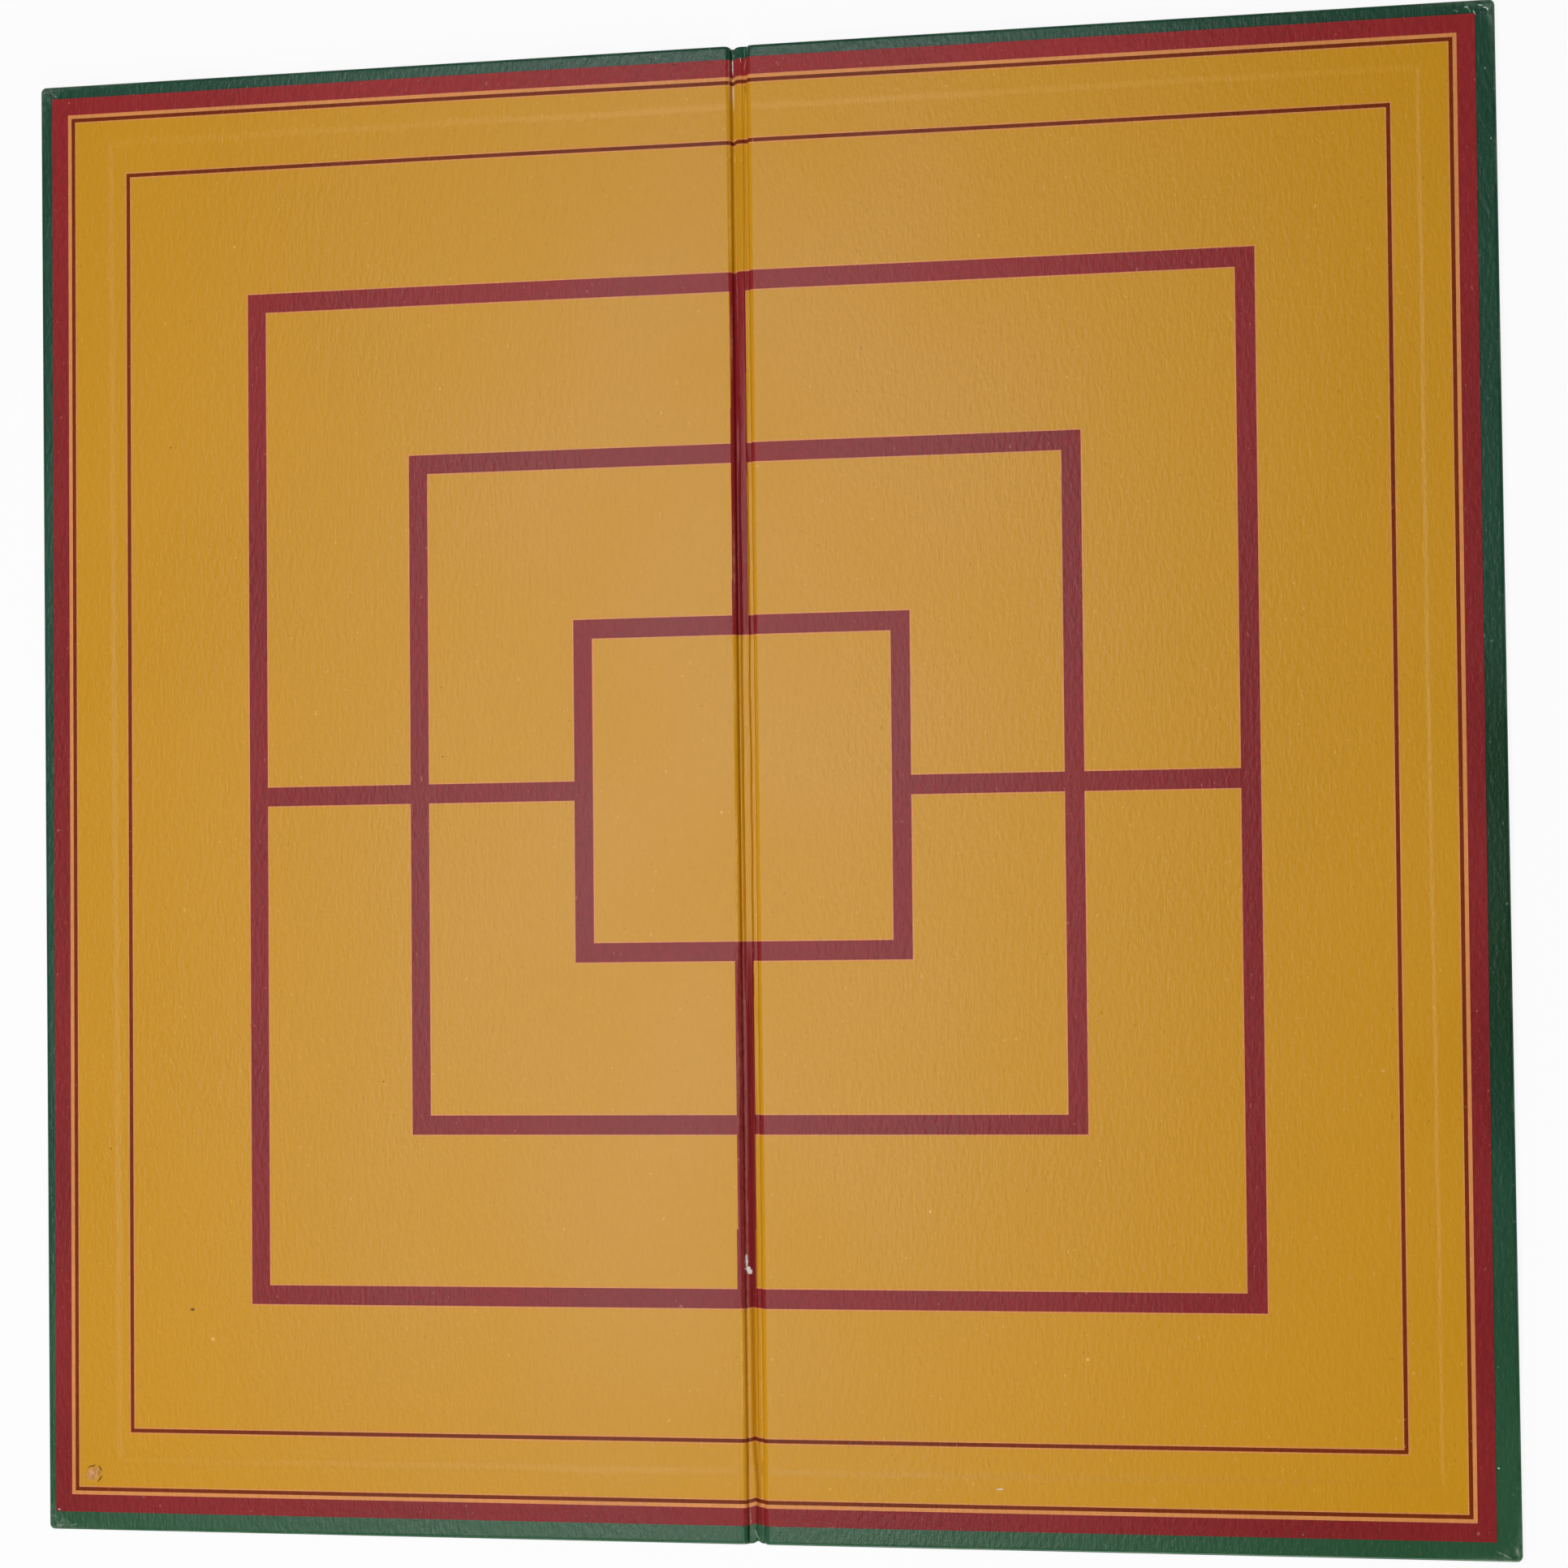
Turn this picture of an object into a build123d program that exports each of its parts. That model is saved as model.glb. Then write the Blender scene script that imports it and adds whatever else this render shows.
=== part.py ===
from build123d import *
import os

os.makedirs("parts", exist_ok=True)

# The frame: the open board lies flat, playing side with the mill pattern up.
# X runs across the fold, Y along it, Z up from the underside.
# All sizes are in millimetres.

# Boards and sheets
board_side = 330.0
greyboard_thickness = 1.75
cover_thickness = 0.15
liner_thickness = 0.15
edge_radius = 0.4
corner_radius = 1.5
turn_in_width = 15.6

# Fold
closed_gap = 0.3
hinge_clearance = 0.1
shoulder_radius = 1.0
hinge_corner_radius = 0.9
fold_end_radius = 1.2
liner_ramp = 1.5

# The liner is pasted a little off the middle and a little out of square
liner_margin = 3.5
liner_shift_x = -1.2
liner_shift_y = 0.6
liner_lean = 1.2

# Print on the liner, from its edge inwards
border_band_width = 3.9
light_line_width = 0.85
dark_line_width = 0.85
frame_line_inset = 12.5
frame_line_width = 0.85
mill_inset = 28.4
mill_line_width = 4.25
mill_rings = 3

# Print on the underside
squares_per_side = 8
squares_margin = 25.0
squares_frame_gap = 4.0
squares_frame_width = 1.2

# Depth at which an ink layer is let into its paper
ink_depth = 0.05

# Heights of the layers in a leaf
greyboard_top = cover_thickness + greyboard_thickness
leaf_height = greyboard_top + liner_thickness

# The fold bends at the top of its thickest stack: cover, turn-in and liner
pivot_height = 2 * cover_thickness + liner_thickness
fold_width = 2 * (leaf_height - pivot_height) + closed_gap
pivot_x = fold_width / 2
groove_width = fold_width + 2 * (liner_thickness + hinge_clearance)

half_side = board_side / 2
groove_x = groove_width / 2
turn_in_start = half_side - turn_in_width
wrap_radius = edge_radius + cover_thickness
liner_half = half_side - liner_margin


def block(x0, x1, y0, y1, z0, z1):
    """A box between two corners."""
    centre = Pos((x0 + x1) / 2, (y0 + y1) / 2, (z0 + z1) / 2)
    return centre * Box(abs(x1 - x0), abs(y1 - y0), abs(z1 - z0))


def tall(plan):
    """A plan area raised through the whole height of the board."""
    return extrude(plan, 2 * leaf_height, both=True)


def shoulder_block(top, hinge_x, radius):
    """The space under a left leaf's top and left of its hinge edge, which is rounded."""
    profile = Rectangle(half_side + hinge_x, top, align=(Align.MIN, Align.MIN))
    shoulder = profile.vertices().sort_by(Axis.X)[-2:].sort_by(Axis.Y)[-1]
    profile = Pos(-half_side, 0) * fillet(shoulder, radius)
    return extrude(Plane.XZ * profile, half_side, both=True)


def hinge_corners(inset):
    """The space of a left leaf whose two corners at the hinge are rounded in plan."""
    plan = Rectangle(half_side - groove_x, board_side - 2 * inset, align=(Align.MIN, Align.CENTER))
    corners = plan.vertices().sort_by(Axis.X)[-2:]
    return tall(Pos(-half_side - inset, 0) * fillet(corners, hinge_corner_radius - inset))


def rounded_leaf(inset, bottom, top):
    """A left leaf with its three outer edges and two outer corners rounded."""
    plan = Rectangle(half_side - inset, board_side - 2 * inset, align=(Align.MIN, Align.CENTER))
    corners = plan.vertices().sort_by(Axis.X)[:2]
    plan = Pos(inset - half_side, 0) * fillet(corners, corner_radius - inset)
    leaf = extrude(Pos(0, 0, bottom) * plan, top - bottom)
    rims = leaf.faces().sort_by(Axis.Z)
    rim_edges = rims[0].edges() + rims[-1].edges()
    outer_edges = [edge for edge in rim_edges if edge.center().X < -corner_radius]
    return fillet(outer_edges, wrap_radius - inset)


def covered_leaf():
    """Greyboard, cover and turn-ins of the left leaf as one block, without the liner."""
    leaf = rounded_leaf(0, 0, greyboard_top) & hinge_corners(0)
    return leaf & shoulder_block(greyboard_top, -groove_x, shoulder_radius)


def inner_field():
    """The middle of the left leaf, which the turn-ins leave free."""
    return block(turn_in_width - half_side, 0, -turn_in_start, turn_in_start, cover_thickness, leaf_height)


def greyboard():
    """The stiff core, pressed down by one sheet where the turn-ins lie on it."""
    pressed_top = greyboard_top - cover_thickness
    pressed = rounded_leaf(cover_thickness, cover_thickness, pressed_top)
    pressed &= hinge_corners(cover_thickness)
    pressed &= shoulder_block(pressed_top, -groove_x - cover_thickness, shoulder_radius)
    return pressed + (covered_leaf() & inner_field())


def fold_stack(x0, x1):
    """Cover with its turned-in ends, doubled and rounded over, along the bottom of the groove."""
    flat = block(x0, x1, -turn_in_start, turn_in_start, 0, cover_thickness)
    nose_y = half_side - cover_thickness
    profile = Pos(turn_in_start, 0) * Rectangle(
        nose_y - turn_in_start, 2 * cover_thickness, align=(Align.MIN, Align.MIN)
    )
    profile += Pos(nose_y, cover_thickness) * Circle(cover_thickness)
    head = extrude(Plane.YZ.offset(x0) * profile, x1 - x0)
    outline = Rectangle(groove_width, board_side)
    ends = tall(fillet(outline.vertices(), fold_end_radius))
    return (flat + head + mirror(head, about=Plane.XZ)) & ends


def panel_space(x0, x1):
    """The space of the cover's flat underside between two places along X."""
    reach = half_side - wrap_radius
    return block(x0, x1, -reach, reach, 0, cover_thickness)


def turn_in_plan(name):
    """Plan of one turn-in of the left leaf, mitred towards the outer corner."""
    outer_head = (-half_side, half_side)
    inner_head = (turn_in_width - half_side, turn_in_start)
    outer_tail = (-half_side, -half_side)
    inner_tail = (turn_in_width - half_side, -turn_in_start)
    corners = {
        "fore_edge": [outer_tail, inner_tail, inner_head, outer_head],
        "head": [outer_head, inner_head, (-pivot_x, turn_in_start), (-pivot_x, half_side)],
        "tail": [outer_tail, (-pivot_x, -half_side), (-pivot_x, -turn_in_start), inner_tail],
    }
    return make_face(Polyline(*corners[name], close=True))


def cover_pieces(core):
    """The cover sheet of the left leaf: its underside panel and the three turn-ins."""
    sheet = covered_leaf() - core + fold_stack(-groove_x, -pivot_x)
    panel = sheet & panel_space(wrap_radius - half_side, -pivot_x)
    pieces = {"cover_panel": panel}
    for name in ("fore_edge", "head", "tail"):
        flap = (sheet - panel) & tall(turn_in_plan(name))
        pieces[name + "_turn_in"] = flap
    return pieces


def fold_cover_pieces():
    """The cover sheet in the fold: the strip under the groove and its two turned-in ends."""
    sheet = fold_stack(-pivot_x, pivot_x)
    panel = sheet & panel_space(-pivot_x, pivot_x)
    ends = sheet - panel
    head = ends & block(-pivot_x, pivot_x, 0, half_side, 0, leaf_height)
    tail = ends & block(-pivot_x, pivot_x, -half_side, 0, 0, leaf_height)
    return {"cover_panel": panel, "head_turn_in": head, "tail_turn_in": tail}


def groove_floor(x0, x1, rise):
    """The space under a surface that lies a rise above the sheet at the groove's bottom."""
    low = cover_thickness + rise
    high = 2 * cover_thickness + rise
    ramp_start = turn_in_start - liner_ramp
    upper = [(ramp_start, low), (turn_in_start, high), (half_side, high)]
    points = [(-y, z) for y, z in reversed(upper)] + upper
    points += [(half_side, 0), (-half_side, 0)]
    profile = make_face(Polyline(*points, close=True))
    return extrude(Plane.YZ.offset(x0) * profile, x1 - x0)


def leaf_space(rise):
    """The space under a surface that lies a rise above the bare left leaf and its groove floor."""
    leaf = shoulder_block(greyboard_top + rise, rise - groove_x, shoulder_radius + rise)
    return leaf + groove_floor(-groove_x, -pivot_x, rise)


def leaf_layer(bottom, top):
    """A layer of the left leaf's liner between two rises."""
    return leaf_space(top) - leaf_space(bottom)


def fold_layer(bottom, top):
    """A layer of the fold's liner between two rises."""
    return groove_floor(-pivot_x, pivot_x, top) - groove_floor(-pivot_x, pivot_x, bottom)


def liner_area(x0, x1, y0, y1):
    """A rectangle of the liner, in the liner's own directions, moved with the sheet."""
    points = []
    for x, y in ((x0, y0), (x1, y0), (x1, y1), (x0, y1)):
        lean = liner_lean * y / board_side
        points.append((x + lean + liner_shift_x, y + liner_shift_y))
    return make_face(Polyline(*points, close=True))


def liner_ring(half, width):
    """A square line of the liner's print, half its side from the middle at its outer edge."""
    inner = half - width
    return liner_area(-half, half, -half, half) - liner_area(-inner, inner, -inner, inner)


def mill_plan(outer_half):
    """Nested squares joined by four spokes through the middles of their sides."""
    spacing = outer_half / mill_rings
    line = mill_line_width / 2
    lines = liner_ring(outer_half, mill_line_width)
    for ring in range(1, mill_rings):
        lines += liner_ring(outer_half - ring * spacing, mill_line_width)
    inner = spacing - line
    outer = outer_half - line
    lines += liner_area(-outer, -inner, -line, line)
    lines += liner_area(inner, outer, -line, line)
    lines += liner_area(-line, line, -outer, -inner)
    lines += liner_area(-line, line, inner, outer)
    return lines


def liner_prints():
    """Plans of the inks on the liner, by name."""
    light_half = liner_half - border_band_width
    dark_half = light_half - light_line_width
    frame_half = dark_half - dark_line_width - frame_line_inset
    mill_half = frame_half - frame_line_width - mill_inset
    dark_lines = liner_ring(dark_half, dark_line_width) + liner_ring(frame_half, frame_line_width)
    return {
        "border_band": liner_ring(liner_half, border_band_width),
        "light_line": liner_ring(light_half, light_line_width),
        "dark_line": dark_lines,
        "mill_lines": mill_plan(mill_half),
    }


def square_row(row, first_column):
    """Every second square of a row of the chequered field."""
    side = (board_side - 2 * squares_margin) / squares_per_side
    start = squares_margin - half_side
    squares = []
    for column in range(first_column, squares_per_side, 2):
        place = Pos(start + (column + 0.5) * side, start + (row + 0.5) * side)
        squares.append(place * Rectangle(side, side))
    return squares


def underside_prints():
    """Plans of the inks on the underside, by name."""
    dark = []
    light = []
    for row in range(squares_per_side):
        dark += square_row(row, row % 2)
        light += square_row(row, 1 - row % 2)
    inner = board_side - 2 * (squares_margin - squares_frame_gap)
    outer = inner + 2 * squares_frame_width
    frame = Rectangle(outer, outer) - Rectangle(inner, inner)
    return {"dark_squares": dark, "light_squares": light, "squares_frame": [frame]}


def inked(layer, plans):
    """The parts of a thin layer that the plans cover."""
    pieces = []
    for plan in plans:
        pieces += (layer & tall(plan)).solids()
    return Compound(children=pieces)


def without(sheet, inks):
    """A sheet with its ink layers taken out of it."""
    for ink in inks.values():
        for piece in ink.solids():
            sheet -= piece
    return sheet


def print_liner(bare, ink_layer):
    """A piece of liner and its ink layers, cut to the sheet's outline."""
    outline = tall(liner_area(-liner_half, liner_half, -liner_half, liner_half))
    inks = {}
    for name, plan in liner_prints().items():
        inks[name] = inked(ink_layer, [plan])
    return {"liner": without(bare & outline, inks)} | inks


def print_underside(panel):
    """A cover panel and its ink layers."""
    ink_layer = panel & block(-half_side, half_side, -half_side, half_side, 0, ink_depth)
    inks = {}
    for name, plans in underside_prints().items():
        inks[name] = inked(ink_layer, plans)
    return {"cover_panel": without(panel, inks)} | inks


def sheets(cover, bare_liner, ink_layer):
    """All the paper and ink of one body, by name."""
    return cover | print_underside(cover["cover_panel"]) | print_liner(bare_liner, ink_layer)


def mirrored(shapes):
    """The same shapes for the right leaf."""
    return {name: mirror(shape, about=Plane.YZ) for name, shape in shapes.items()}


def build_parts():
    """Every piece of the board by its node name."""
    core = greyboard()
    cover = cover_pieces(core)
    liner = {
        "bare": leaf_layer(0, liner_thickness),
        "ink": leaf_layer(liner_thickness - ink_depth, liner_thickness),
    }
    right_liner = mirrored(liner)
    fold_liner = fold_layer(0, liner_thickness)
    fold_ink = fold_layer(liner_thickness - ink_depth, liner_thickness)
    bodies = {
        "left": {"greyboard": core} | sheets(cover, liner["bare"], liner["ink"]),
        "right": mirrored({"greyboard": core})
        | sheets(mirrored(cover), right_liner["bare"], right_liner["ink"]),
        "fold": sheets(fold_cover_pieces(), fold_liner, fold_ink),
    }
    parts = {}
    for body, pieces in bodies.items():
        for name, shape in pieces.items():
            parts[name + "_" + body] = shape
    return parts


for node, shape in build_parts().items():
    export_step(Compound(children=shape.solids()), f"parts/{node}.step")

print("pivots at x", -pivot_x, pivot_x, "z", pivot_height)
print("leaf height", leaf_height, "fold width", fold_width, "groove width", groove_width)
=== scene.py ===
import math

import bpy
from mathutils import Matrix, Vector, noise


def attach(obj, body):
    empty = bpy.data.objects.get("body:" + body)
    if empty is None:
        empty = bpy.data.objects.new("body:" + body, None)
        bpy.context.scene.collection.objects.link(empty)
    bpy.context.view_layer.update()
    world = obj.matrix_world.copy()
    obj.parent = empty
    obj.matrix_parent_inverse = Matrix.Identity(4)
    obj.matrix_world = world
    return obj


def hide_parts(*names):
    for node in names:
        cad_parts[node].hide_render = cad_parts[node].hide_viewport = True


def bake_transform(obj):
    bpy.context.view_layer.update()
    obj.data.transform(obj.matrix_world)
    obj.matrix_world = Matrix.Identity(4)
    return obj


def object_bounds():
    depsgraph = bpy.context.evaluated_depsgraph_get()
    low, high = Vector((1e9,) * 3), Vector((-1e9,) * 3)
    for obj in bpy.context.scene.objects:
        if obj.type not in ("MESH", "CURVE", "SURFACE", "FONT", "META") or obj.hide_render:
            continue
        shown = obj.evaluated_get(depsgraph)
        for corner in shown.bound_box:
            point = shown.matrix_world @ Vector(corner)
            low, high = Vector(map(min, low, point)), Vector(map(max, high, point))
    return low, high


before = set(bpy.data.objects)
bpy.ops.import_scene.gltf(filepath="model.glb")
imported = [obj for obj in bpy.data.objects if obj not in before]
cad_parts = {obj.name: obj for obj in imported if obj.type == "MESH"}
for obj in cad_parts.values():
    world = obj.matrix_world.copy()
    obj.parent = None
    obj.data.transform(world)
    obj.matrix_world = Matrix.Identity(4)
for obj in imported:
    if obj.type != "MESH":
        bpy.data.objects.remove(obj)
cad_low, cad_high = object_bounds()

# Lengths are in millimetres in the frame of the imported model, and become metres in add_mesh.
# The stage at the end is in metres.
# X runs across the fold, Y along it, Z up from the underside.
MM = 0.001
half_side = cad_high.x / MM
board_side = 2 * half_side
leaf_top = cad_high.z / MM
paper = 0.15
wrap_radius = 0.55

# The corners of the board, how the turned-in flaps are meshed round them, and how much of a thin
# stack's height the bend round its edge may take at most
corner_radius = 1.2
corner_steps = 7
mitre_angle = 45
mitre_spread = 0.3
flap_end_gap = 4
most_wrap = 0.48

# Where the turned-in cover ends under the liner, which shows as a faint ridge on each side
ridge_left = -147.8
ridge_right = 148.7
ridge_head = 151.3
ridge_tail = -149.0
ridge_width = 1.1
soft_ridge_width = 1.8
field_sink = 0.075

# The printed liner: half its side, and how it lies on the board
liner_half = 161.5
liner_shift_x = -1.2
liner_shift_y = 0.6
liner_lean = 1.2

# Widths of the prints on the liner, and the halo of light ink beside its dark lines
border_band = 3.9
thin_line = 0.85
frame_line_inset = 12.5
mill_inset = 28.4
mill_line = 4.25
halo_width = 0.28

# Half sides of the printed squares, from the outside inwards
band_inner = liner_half - border_band
light_inner = band_inner - thin_line
dark_inner = light_inner - thin_line
frame_outer = dark_inner - frame_line_inset
frame_inner = frame_outer - thin_line
mill_outer = frame_inner - mill_inset
mill_rings = 3
mill_spacing = mill_outer / mill_rings
ring_outers = [mill_outer - ring * mill_spacing for ring in range(mill_rings)]

# Edges of the two spokes that run down into the fold, and how they narrow towards the head
spoke_left_edge = -1.7
spoke_right_edge = 2.15
spoke_narrowing = 0.6
spoke_narrowing_length = 120

# The fold's section: its walls, its widest shoulder, how wide the walls' feet are, how the leaves
# dip beside it, how far it shapes the paper, and its lowest floor
wall_x = 1.86
widest_shoulder = 1.25
foot_width = 0.2
foot_width_head = 0.55
fold_dip = 0.05
fold_dip_width = 1.6
groove_zone = 4.4
leaf_grid_end = groove_zone + 3
lowest_floor = 0.3

# Where the fold's floor rises onto the turned-in cover, and where the paper bends
turn_in_start = half_side - 17
turn_in_ramp = 1.5
cover_crease_x = 1.75

# The chequered underside
squares_margin = 25.0
squares_per_side = 8
squares_frame_gap = 4.0
squares_frame_width = 1.2
square_side = (board_side - 2 * squares_margin) / squares_per_side

# Widest gaps between the points of each mesh
liner_row_gap = 2.6
liner_column_gap = 5.0
panel_gap = 12
flap_gap = 6

# Material slots of the liner, with the cover's green beyond its edge, and of the cover
YELLOW, MAROON, LIGHT, DARK, CUT_EDGE, GREEN = range(6)
COVER_GREEN, COVER_MAROON, COVER_YELLOW, COVER_LIGHT = range(4)

# Wear of the paper: place of each mark on the board, its half length, half width and direction
# in degrees
torn_marks = [
    (-1.6, -103.2, 1.5, 0.26, -89),
    (-1.3, -104.9, 0.6, 0.5, 10),
    (-0.95, -105.6, 0.6, 0.55, 40),
    (163.5, 162.9, 0.5, 0.18, -60),
    (163.0, 163.3, 0.35, 0.13, 10),
    (162.13, 163.81, 0.6, 0.12, -4),
    (160.82, 162.32, 0.6, 0.13, -65),
    (159.06, 163.56, 0.36, 0.12, -18),
    (160.35, -145.46, 0.26, 0.2, -18),
    (-162.56, -160.46, 0.3, 0.13, -12),
    (54.25, -151.82, 0.71, 0.15, 1),
    (-1.5, 160.44, 1.99, 0.13, -89),
    (-1.46, 154.37, 3.35, 0.11, -90),
]
pale_marks = [
    (162.82, 150.32, 0.35, 0.17, -48),
    (163.82, 135.28, 0.3, 0.17, -91),
    (-161.99, -164.0, 1.03, 0.17, 17),
    (-159.04, -163.9, 1.01, 0.15, 12),
    (-161.64, 163.0, 1.09, 0.12, -35),
    (164.1, -163.1, 1.2, 0.5, -79),
    (161.2, -163.5, 1.92, 0.17, -25),
    (-1.6, 163.6, 1.22, 0.1, -78),
    (1.85, 163.9, 1.36, 0.17, -87),
    (0.3, 161.88, 0.84, 0.15, -78),
    (1.35, 160.9, 1.37, 0.15, 78),
    (-1.4, -159.46, 1.59, 0.12, -87),
    (-0.1, -162.9, 1.5, 0.25, -69),
    (156.92, 162.92, 0.63, 0.2, -20),
    (159.56, 163.27, 1.18, 0.2, -65),
    (16.75, -152.53, 0.45, 0.12, 1),
    (40.64, -152.25, 0.45, 0.12, 1),
    (-157.97, 161.09, 0.28, 0.2, -45),
    (-142.28, 162.16, 0.22, 0.17, -28),
    (-5.71, -4.7, 0.5, 0.45, 0),
    (39.77, -92.2, 0.4, 0.4, 0),
    (-125.29, -121.54, 0.45, 0.45, 0),
    (73.72, -123.7, 0.4, 0.4, 0),
    (-1.35, 140.15, 1.45, 0.07, -89),
]
dark_marks = [
    (-162.7, 163.5, 2.3, 0.2, -40),
    (162.36, 162.84, 2.2, 0.16, 38),
    (162.6, -163.9, 2.6, 0.2, -28),
    (-163.0, -163.4, 1.9, 0.16, 43),
    (-149.33, -78.7, 0.22, 0.2, 0),
    (-130.05, -114.92, 0.7, 0.35, 10),
    (-69.75, 8.85, 0.22, 0.18, 0),
    (-84.35, -63.61, 0.2, 0.2, 0),
    (-133.78, 80.71, 0.2, 0.2, 0),
    (-62.79, -141.95, 0.22, 0.2, 0),
    (-14.42, 161.42, 0.56, 0.25, -3),
    (1.29, 154.93, 2.26, 0.07, -90),
    (-154.6, -150.6, 1.3, 0.22, 18),
    (-152.5, -151.0, 0.9, 0.22, -58),
    (-152.6, -153.4, 1.1, 0.22, 50),
]
scuff_marks = [(-154.5, -152.4, 2.0, 1.7, 10), (-153.4, -151.8, 1.1, 1.2, 0)]

# Colours that age and wear bring out, greens of painted shade and painted light, what painted shade
# in a crease leaves of each part of an ink's colour, and the depth of the varnish's orange peel in
# metres
painted_shade_green = (0.002, 0.036, 0.009, 1)
painted_light_green = (0.03, 0.12, 0.035, 1)
speck_colour = (0.2, 0.07, 0.01, 1)
scuff_brown = (0.3, 0.11, 0.03, 1)
scuff_tan = (0.66, 0.33, 0.13, 1)
torn_green = (0.45, 0.58, 0.48, 1)
torn_paper = (0.72, 0.66, 0.62, 1)
crease_shade_tint = (0.6, 0.45, 0.3)
varnish_depth = 0.00007


def clamp(value):
    """A value kept between 0 and 1."""
    return max(0.0, min(1.0, value))


def smooth(value):
    """A soft step from 0 to 1."""
    value = clamp(value)
    return value * value * (3 - 2 * value)


def hump(value, width):
    """A soft bump round 0."""
    return math.exp(-((value / width) ** 2))


def drift(y, wavelength, seed):
    """A slow wander between about -1 and 1 along the fold."""
    return noise.noise(Vector((y / wavelength, seed, 0.5)))


# Shape of the visible sheet


def turn_in_lift(x, y):
    """1 over the turned-in cover, 0 in the field inside it, with a soft step between."""
    y_wander = y + 0.3 * drift(x, 23, 3.1)
    x_wander = x + 0.3 * drift(y, 27, 7.7)
    soft = min(x_wander - ridge_left, ridge_head - y_wander, y_wander - ridge_tail)
    inside = min(soft / soft_ridge_width, (ridge_right - x_wander) / ridge_width)
    return 1 - smooth(inside + 0.5)


def shoulder_radius(x, y):
    """Towards the tail the left shoulder is tighter and the right one wider."""
    share = (half_side - y) / board_side
    wander = 0.05 * drift(y, 40, 11.3 if x < 0 else 17.9)
    return 1.0 + (0.25 if x > 0 else -0.22) * share + wander


def ridge_between(value, width):
    """A sharp ridge round 0 with straight sides."""
    return max(0.0, 1 - abs(value) / width)


def along(x, stops):
    """Height at a place on a line through some stops."""
    for (low, first), (high, second) in zip(stops, stops[1:]):
        if x < high:
            return first + (second - first) * clamp((x - low) / (high - low))
    return stops[-1][1]


# Floor of the fold in section, from left to right, at the head, in the middle and at the tail
head_floor = ((-wall_x, 0.4), (-1.25, 0.34), (0.4, 0.7), (1.2, 0.42), (wall_x, 0.42))
middle_floor = ((-wall_x, 0.5), (-1.1, 0.53), (-0.1, 0.6), (0.78, 0.54), (wall_x, 0.5))
tail_floor = (
    (-wall_x, 0.46), (-0.95, 0.55), (-0.1, 0.3), (0.55, 0.55), (1.2, 0.38), (wall_x, 0.5)
)


def fold_parts(y):
    """How much of the fold's head, middle and tail shape a place along it has."""
    head = smooth((y - 50) / 80)
    tail = smooth((-y - 20) / 35)
    return head, 1 - head - tail, tail


def valley_place(y):
    """Where the valley runs at the tail: it turns towards the right leaf at the board's edge."""
    return 0.72 * smooth((-y - 140) / 14) - 0.22


def fold_creases(x, y):
    """How much of each crease in the fold's floor a place has, left and right."""
    head, middle, tail = fold_parts(y)
    left = middle * ridge_between(x + 0.98 + 0.16 * drift(y, 14, 5.2), 0.21)
    right = ridge_between(x - 0.78 + 0.17 * drift(y, 11, 8.6), 0.23)
    return left, (0.25 * head + middle + 0.5 * tail) * right


def fold_floor(x, y):
    """The paper at the bottom of the fold.

    It slopes at the head, has two creases in the middle and a valley at the tail.
    """
    head, middle, tail = fold_parts(y)
    place = x + 0.14 * drift(y, 30, 2.2) + 0.06 * drift(y, 9, 4.4)
    level = head * along(place, head_floor) + middle * along(place, middle_floor)
    level += tail * along(place - valley_place(y) - 0.1, tail_floor)
    left, right = fold_creases(x, y)
    depth = max(0.0, level - 0.2 * left - 0.2 * right - lowest_floor)
    on_turn_in = smooth((abs(y) - turn_in_start) / turn_in_ramp)
    return lowest_floor + depth * (1 - 0.25 * on_turn_in) + on_turn_in * paper


def liner_height(x, y):
    """Height of the liner's face at a place on the board."""
    level = leaf_top - field_sink * (1 - turn_in_lift(x, y))
    across = abs(x)
    radius = shoulder_radius(x, y)
    level -= fold_dip * hump(across - wall_x, fold_dip_width)
    start = wall_x + radius
    if across >= start:
        return level
    if across >= wall_x:
        return level - radius + math.sqrt(max(0, radius**2 - (start - across) ** 2))
    width = foot_width + (foot_width_head - foot_width) * fold_parts(y)[0]
    share = clamp((wall_x - across) / width)
    floor = fold_floor(x, y)
    return floor + (level - radius - floor) * (1 - math.sqrt(max(0, 1 - (1 - share) ** 2)))


def cover_height(x, y):
    """Height of the turned-in cover's face."""
    return liner_height(x, y) - paper


def height_normal(height, x, y):
    """Normal of a surface whose height is a function of the place."""
    step = 0.015
    slope_x = (height(x + step, y) - height(x - step, y)) / (2 * step)
    slope_y = (height(x, y + step) - height(x, y - step)) / (2 * step)
    return Vector((-slope_x, -slope_y, 1)).normalized()


# Print


def liner_ink(u, v):
    """Slot of the ink at a place on the printed sheet, in the sheet's own directions."""
    edge = max(abs(u), abs(v))
    if edge > liner_half:
        return GREEN
    if edge > band_inner:
        return MAROON
    if edge > light_inner:
        return LIGHT
    if edge > dark_inner or frame_inner < edge < frame_outer:
        return DARK
    beside_frame = frame_inner - halo_width < edge < frame_outer + halo_width
    if edge > dark_inner - halo_width or beside_frame:
        return LIGHT
    if any(outer - mill_line < edge < outer for outer in ring_outers):
        return MAROON
    on_row = abs(v) < mill_line / 2 and abs(u) > abs(v)
    narrowed = spoke_narrowing * smooth(v / spoke_narrowing_length + 0.5)
    on_column = spoke_left_edge < u < spoke_right_edge - narrowed and abs(v) > abs(u)
    between_rings = ring_outers[-1] - 1 < edge < mill_outer
    if (on_row or on_column) and between_rings:
        return MAROON
    for outer in ring_outers:
        if outer - mill_line - halo_width < edge < outer + halo_width:
            return LIGHT
    near_row = abs(v) < mill_line / 2 + halo_width and abs(u) > abs(v)
    return LIGHT if near_row and between_rings else YELLOW


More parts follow.
